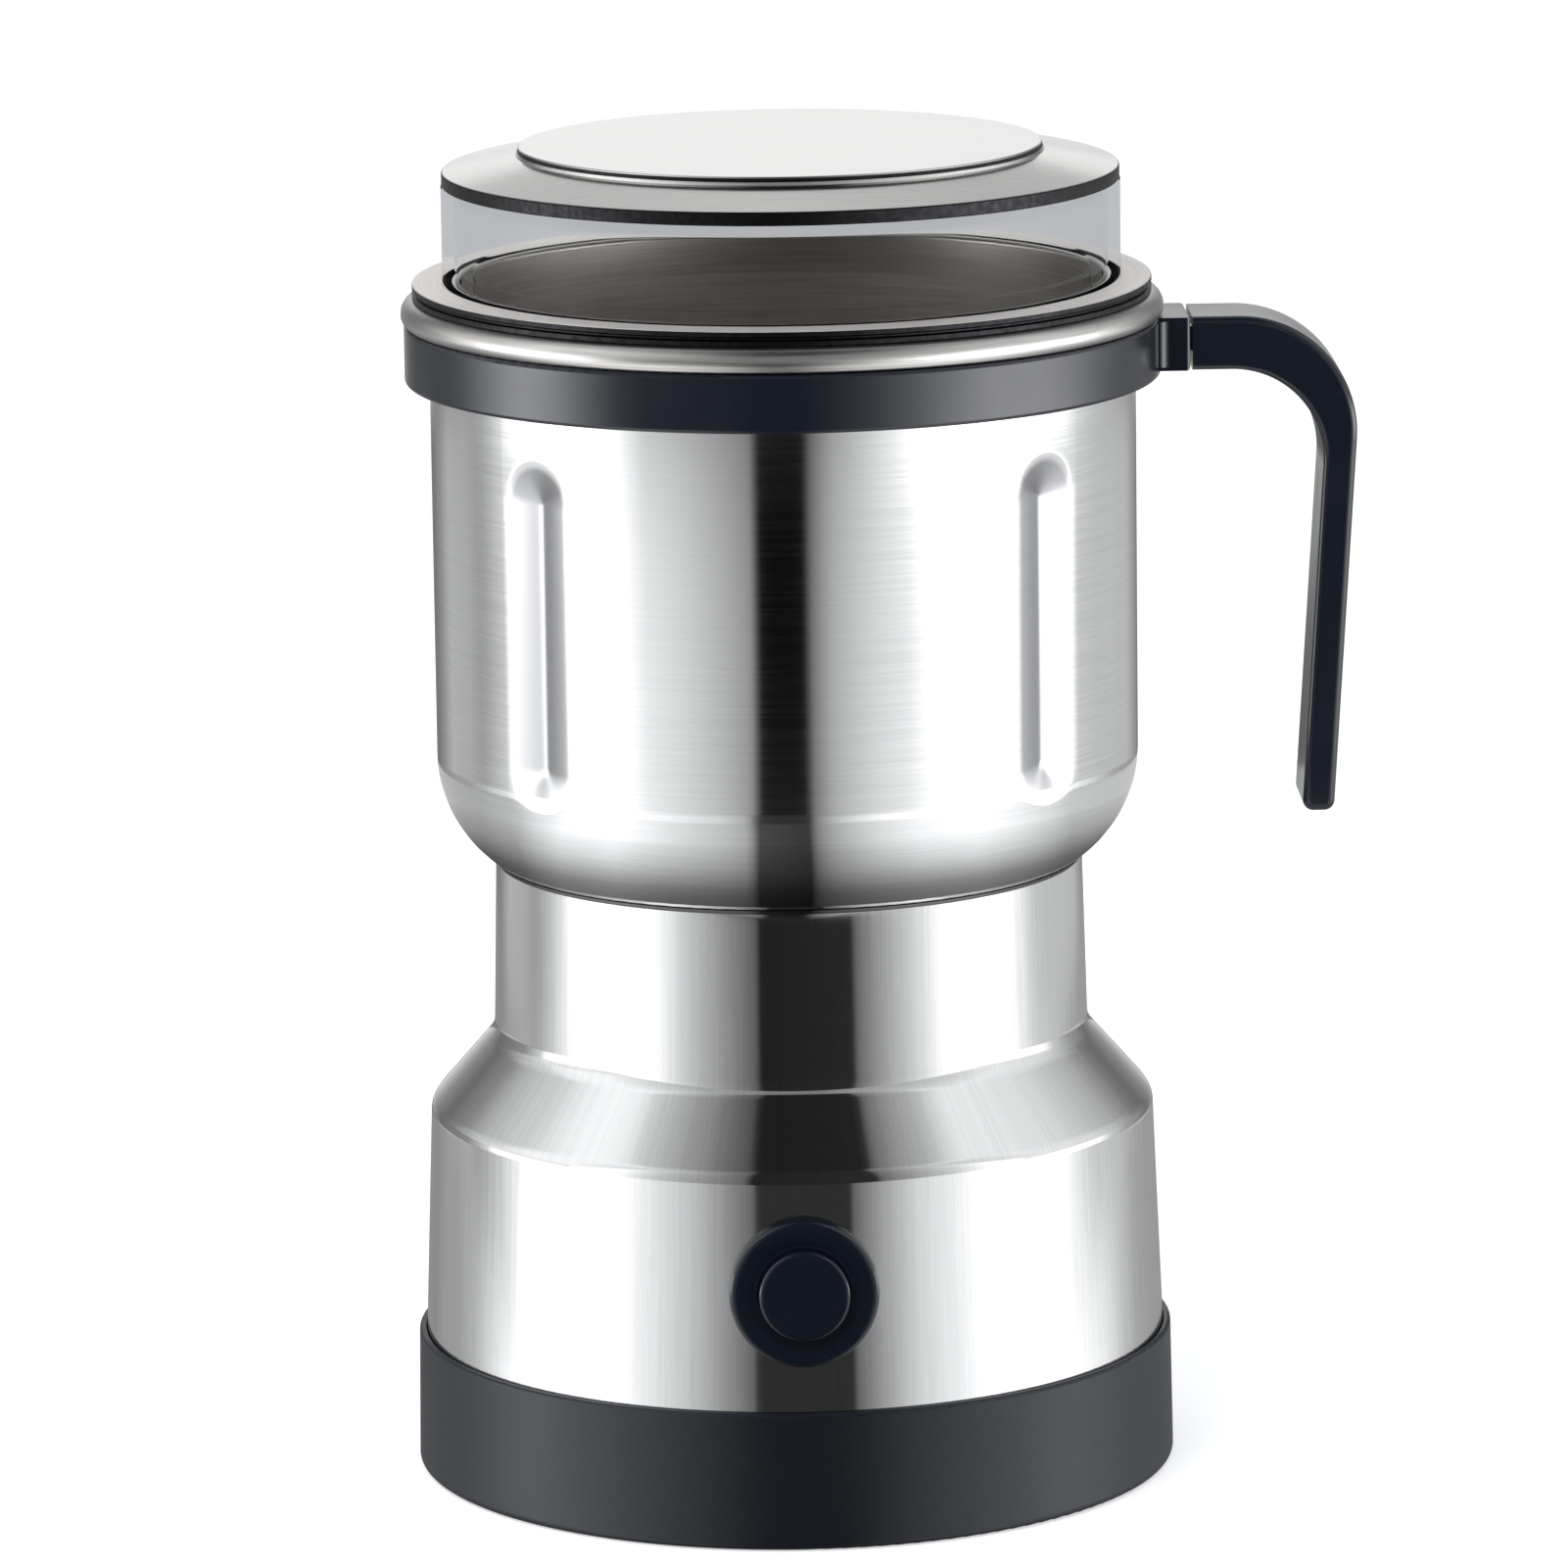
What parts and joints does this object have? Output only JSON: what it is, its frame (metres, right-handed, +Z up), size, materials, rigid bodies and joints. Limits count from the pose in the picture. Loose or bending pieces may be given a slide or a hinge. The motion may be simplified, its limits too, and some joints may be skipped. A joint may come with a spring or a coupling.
{
  "type": "electric spice grinder",
  "caption": "Countertop spice grinder: steel cup with pressed grooves and clear lid on a steel motor housing, black base, strap handle and front push button.",
  "frame": {"origin": "where the motor shaft's axis meets the table, in the plane of the base's bottom rim", "axes": "+Z up along the motor shaft; +X from the shaft towards the handle; the push button faces -Y and the cord entry faces +Y"},
  "size_m": [0.1251, 0.1048, 0.176],
  "materials": {
    "black_abs": "moulded satin, near black",
    "black_rubber": "moulded matt rubber",
    "zinc_plated_steel": "zinc plated",
    "yellow_polypropylene": "moulded box",
    "brushed_stainless_steel": "brushed",
    "glass_filled_nylon": "moulded, matt",
    "sintered_bronze": "sintered",
    "lamination_steel": "punched and stacked",
    "enamelled_copper": "enamelled wire",
    "brass_sheet": "drawn",
    "carbon_graphite": "pressed",
    "spring_steel": "drawn wire",
    "stainless_steel": "turned",
    "switch_phenolic": "moulded",
    "ground_steel": "ground",
    "copper_bar": "turned",
    "fibre_board": "pressed",
    "white_nylon": "moulded",
    "blade_steel": "ground",
    "clear_acrylonitrile_styrene": "moulded, clear"
  },
  "bodies": {
    "root": {"base_shell": "black_abs", "rubber_feet": "black_rubber", "base_screws": "zinc_plated_steel", "cord_gland": "black_rubber", "suppression_capacitor": "yellow_polypropylene", "motor_housing": "brushed_stainless_steel", "upper_motor_frame": "glass_filled_nylon", "upper_bush": "sintered_bronze", "shaft_seal": "black_rubber", "stator_core": "lamination_steel", "field_coils": "enamelled_copper", "motor_bolts": "zinc_plated_steel", "lower_motor_bracket": "glass_filled_nylon", "lower_bush": "sintered_bronze", "brush_holders": "brass_sheet", "carbon_brushes": "carbon_graphite", "brush_springs": "spring_steel", "cup_sleeve": "brushed_stainless_steel", "grinding_bowl": "brushed_stainless_steel", "bowl_screws": "stainless_steel", "collar": "black_abs", "handle": "black_abs", "handle_screw": "zinc_plated_steel", "switch_bezel": "black_abs", "switch_spring": "spring_steel", "switch_nut": "black_abs", "switch_body": "switch_phenolic", "switch_terminals": "brass_sheet"},
    "lid": {"lid_shell": "clear_acrylonitrile_styrene", "lid_cap": "brushed_stainless_steel"},
    "button": {"push_button": "black_abs"},
    "rotor": {"motor_shaft": "ground_steel", "armature_core": "lamination_steel", "armature_winding": "enamelled_copper", "commutator": "copper_bar", "thrust_washers": "fibre_board", "cooling_fan": "white_nylon", "lower_blade": "blade_steel", "upper_blade": "blade_steel", "blade_spacers": "stainless_steel", "blade_washer": "stainless_steel", "blade_nut": "stainless_steel"}
  },
  "joints": [
    {"name": "lid_lift", "type": "slide", "parent": "root", "child": "lid", "axis": [0, 0, 1], "range_m": [0, 0.06]},
    {"name": "button_press", "type": "slide", "parent": "root", "child": "button", "axis": [0, 1, 0], "range_m": [0, 0.0025], "stiffness_N_per_m": 400, "springref_m": -0.003, "deforming": ["switch_spring"]},
    {"name": "rotor_spin", "type": "hinge", "parent": "root", "child": "rotor", "pos_m": [0, 0, 0.058], "axis": [0, 0, 1], "continuous": true}
  ]
}
